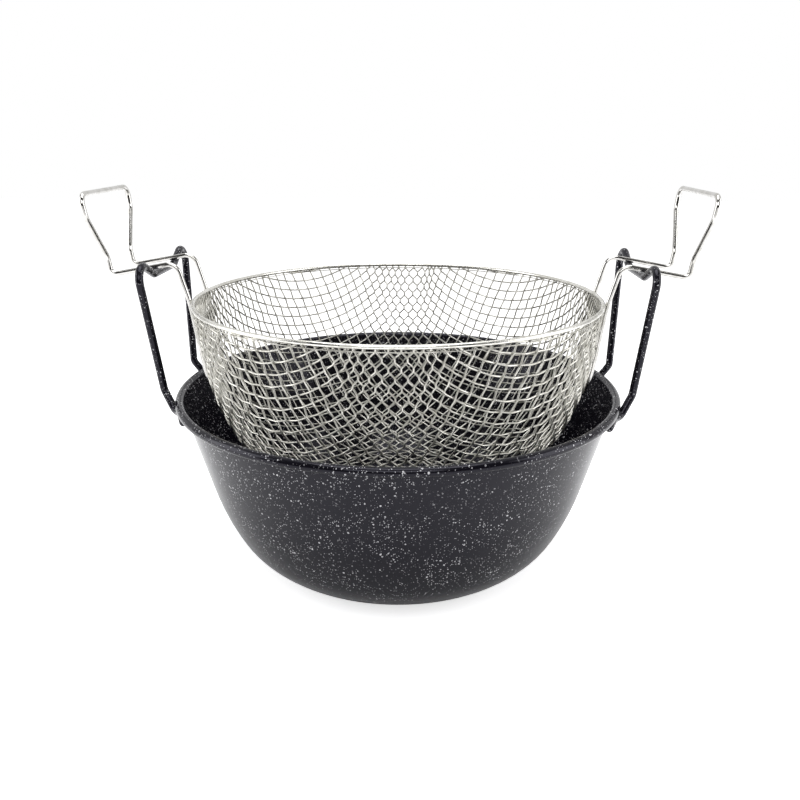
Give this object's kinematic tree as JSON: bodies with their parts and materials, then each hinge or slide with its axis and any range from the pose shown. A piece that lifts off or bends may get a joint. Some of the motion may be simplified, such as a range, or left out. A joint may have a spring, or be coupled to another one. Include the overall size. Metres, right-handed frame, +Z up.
{
  "type": "deep fry pot with basket",
  "caption": "Round-bottomed enamelled frying pot with bent-rod handles, and a wire mesh basket that hangs from the handles' crossbars to drain and lifts off upwards.",
  "frame": {"origin": "centre of the pot's flat base, on the surface that the pot stands on", "axes": "+Z up along the pot's axis; X runs through both pairs of handles; +Y points away from the picture's viewer"},
  "size_m": [0.3662, 0.285, 0.2431],
  "materials": {
    "speckled_enamel": "glossy black vitreous enamel with random white speckles on pressed steel",
    "basket_wire": "bright tinned steel wire"
  },
  "bodies": {
    "pot": {"pot_body": "speckled_enamel", "pot_handle_right": "speckled_enamel", "pot_handle_left": "speckled_enamel"},
    "basket": {"basket_hoop": "basket_wire", "basket_mesh": "basket_wire", "basket_handle_right": "basket_wire", "basket_handle_left": "basket_wire"}
  },
  "joints": [
    {"name": "basket_lift", "type": "slide", "parent": "pot", "child": "basket", "axis": [0, 0, 1], "range_m": [0, 0.25]}
  ]
}
